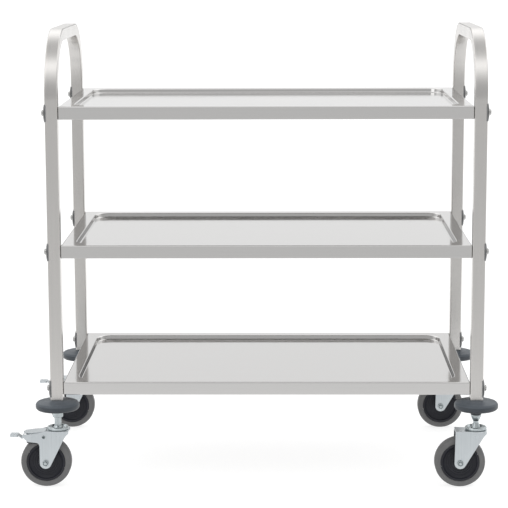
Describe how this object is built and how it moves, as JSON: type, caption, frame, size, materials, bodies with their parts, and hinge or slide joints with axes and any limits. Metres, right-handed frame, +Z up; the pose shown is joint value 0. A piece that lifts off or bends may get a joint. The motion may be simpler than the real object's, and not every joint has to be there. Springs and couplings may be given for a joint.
{
  "type": "three-tier food service trolley",
  "caption": "Stainless steel serving trolley with three trays between two square-tube end frames, on swivel casters with bumpers and foot brakes.",
  "frame": {"origin": "on the floor under the centre of the box around the whole trolley, pedals included", "axes": "+X to the right along the trays, +Y to the rear, +Z up"},
  "size_m": [0.9652, 0.5504, 0.9],
  "materials": {
    "frame_steel": "satin brushed stainless tube, grain along the tube",
    "tray_steel": "bright rolled stainless sheet, nearly mirror-like in the recess",
    "fastener_steel": "smooth stainless steel",
    "zinc_plate": "bright bluish zinc plating with a faint mottle",
    "bumper_rubber": "satin slate-grey moulded rubber",
    "tyre_rubber": "matt grey thermoplastic rubber tread",
    "hub_plastic": "moulded near-black nylon, low sheen",
    "black_rubber": "matt black rubber"
  },
  "bodies": {
    "trolley_frame": {"end_frame_left": "frame_steel", "end_frame_right": "frame_steel", "tray_bottom": "tray_steel", "tray_middle": "tray_steel", "tray_top": "tray_steel", "bolt_front_left_bottom": "fastener_steel", "saddle_washer_front_left_bottom": "fastener_steel", "bolt_front_left_middle": "fastener_steel", "saddle_washer_front_left_middle": "fastener_steel", "bolt_front_left_top": "fastener_steel", "saddle_washer_front_left_top": "fastener_steel", "bumper_front_left": "bumper_rubber", "caster_stem_front_left": "zinc_plate", "bolt_front_right_bottom": "fastener_steel", "saddle_washer_front_right_bottom": "fastener_steel", "bolt_front_right_middle": "fastener_steel", "saddle_washer_front_right_middle": "fastener_steel", "bolt_front_right_top": "fastener_steel", "saddle_washer_front_right_top": "fastener_steel", "bumper_front_right": "bumper_rubber", "caster_stem_front_right": "zinc_plate", "bolt_rear_left_bottom": "fastener_steel", "saddle_washer_rear_left_bottom": "fastener_steel", "bolt_rear_left_middle": "fastener_steel", "saddle_washer_rear_left_middle": "fastener_steel", "bolt_rear_left_top": "fastener_steel", "saddle_washer_rear_left_top": "fastener_steel", "bumper_rear_left": "bumper_rubber", "caster_stem_rear_left": "zinc_plate", "bolt_rear_right_bottom": "fastener_steel", "saddle_washer_rear_right_bottom": "fastener_steel", "bolt_rear_right_middle": "fastener_steel", "saddle_washer_rear_right_middle": "fastener_steel", "bolt_rear_right_top": "fastener_steel", "saddle_washer_rear_right_top": "fastener_steel", "bumper_rear_right": "bumper_rubber", "caster_stem_rear_right": "zinc_plate"},
    "caster_swivel_front_left": {"fork_front_left": "zinc_plate", "axle_bolt_front_left": "zinc_plate", "brake_pin_front_left": "zinc_plate"},
    "wheel_front_left": {"wheel_hub_front_left": "hub_plastic", "tyre_front_left": "tyre_rubber"},
    "brake_front_left": {"brake_pedal_front_left": "zinc_plate", "brake_shoe_front_left": "black_rubber"},
    "caster_swivel_front_right": {"fork_front_right": "zinc_plate", "axle_bolt_front_right": "zinc_plate"},
    "wheel_front_right": {"wheel_hub_front_right": "hub_plastic", "tyre_front_right": "tyre_rubber"},
    "caster_swivel_rear_left": {"fork_rear_left": "zinc_plate", "axle_bolt_rear_left": "zinc_plate", "brake_pin_rear_left": "zinc_plate"},
    "wheel_rear_left": {"wheel_hub_rear_left": "hub_plastic", "tyre_rear_left": "tyre_rubber"},
    "brake_rear_left": {"brake_pedal_rear_left": "zinc_plate", "brake_shoe_rear_left": "black_rubber"},
    "caster_swivel_rear_right": {"fork_rear_right": "zinc_plate", "axle_bolt_rear_right": "zinc_plate"},
    "wheel_rear_right": {"wheel_hub_rear_right": "hub_plastic", "tyre_rear_right": "tyre_rubber"}
  },
  "joints": [
    {"name": "swivel_front_left", "type": "hinge", "parent": "trolley_frame", "child": "caster_swivel_front_left", "pos_m": [-0.38762, -0.232, 0.1145], "axis": [0, 0, 1], "continuous": true},
    {"name": "wheel_spin_front_left", "type": "hinge", "parent": "caster_swivel_front_left", "child": "wheel_front_left", "pos_m": [-0.41163, -0.232, 0.05], "axis": [0, 1, 0], "continuous": true},
    {"name": "brake_press_front_left", "type": "hinge", "parent": "caster_swivel_front_left", "child": "brake_front_left", "pos_m": [-0.41463, -0.232, 0.1025], "axis": [0, -1, 0], "range_deg": [0, 7]},
    {"name": "swivel_front_right", "type": "hinge", "parent": "trolley_frame", "child": "caster_swivel_front_right", "pos_m": [0.43938, -0.232, 0.1145], "axis": [0, 0, 1], "continuous": true},
    {"name": "wheel_spin_front_right", "type": "hinge", "parent": "caster_swivel_front_right", "child": "wheel_front_right", "pos_m": [0.40837, -0.232, 0.05], "axis": [0, 1, 0], "continuous": true},
    {"name": "swivel_rear_left", "type": "hinge", "parent": "trolley_frame", "child": "caster_swivel_rear_left", "pos_m": [-0.38762, 0.232, 0.1145], "axis": [0, 0, 1], "continuous": true},
    {"name": "wheel_spin_rear_left", "type": "hinge", "parent": "caster_swivel_rear_left", "child": "wheel_rear_left", "pos_m": [-0.41163, 0.232, 0.05], "axis": [0, 1, 0], "continuous": true},
    {"name": "brake_press_rear_left", "type": "hinge", "parent": "caster_swivel_rear_left", "child": "brake_rear_left", "pos_m": [-0.41463, 0.232, 0.1025], "axis": [0, -1, 0], "range_deg": [0, 7]},
    {"name": "swivel_rear_right", "type": "hinge", "parent": "trolley_frame", "child": "caster_swivel_rear_right", "pos_m": [0.43938, 0.232, 0.1145], "axis": [0, 0, 1], "continuous": true},
    {"name": "wheel_spin_rear_right", "type": "hinge", "parent": "caster_swivel_rear_right", "child": "wheel_rear_right", "pos_m": [0.40837, 0.232, 0.05], "axis": [0, 1, 0], "continuous": true}
  ]
}
